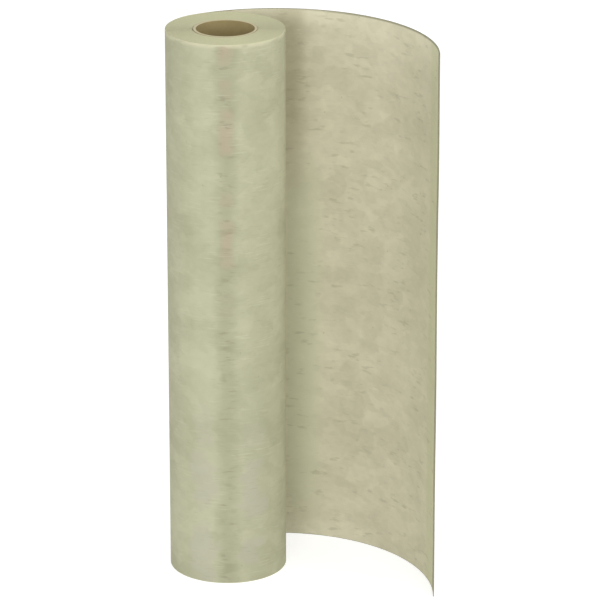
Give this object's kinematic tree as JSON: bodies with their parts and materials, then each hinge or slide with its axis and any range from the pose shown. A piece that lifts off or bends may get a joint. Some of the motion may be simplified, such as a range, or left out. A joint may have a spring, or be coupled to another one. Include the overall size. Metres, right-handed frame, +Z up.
{
  "type": "roll of waterproofing membrane",
  "caption": "Upright roll of waterproofing membrane wound on a cardboard core, with its loose end let off the roll and curling round beside it.",
  "frame": {"origin": "centre of the core's bore at the bottom end, on the surface that the roll stands on", "axes": "+Z up along the roll's axis; the loose end leaves the roll at its +Y side, heading +X, and curls round towards -Y"},
  "size_m": [0.385, 0.4284, 1],
  "materials": {
    "membrane": "matte nonwoven fleece face on a polymer sheet, sage green outside and beige inside",
    "core_board": "spirally wound brown kraft board, bare and matte"
  },
  "bodies": {
    "root": {"membrane": "membrane", "core_tube": "core_board"}
  },
  "joints": []
}
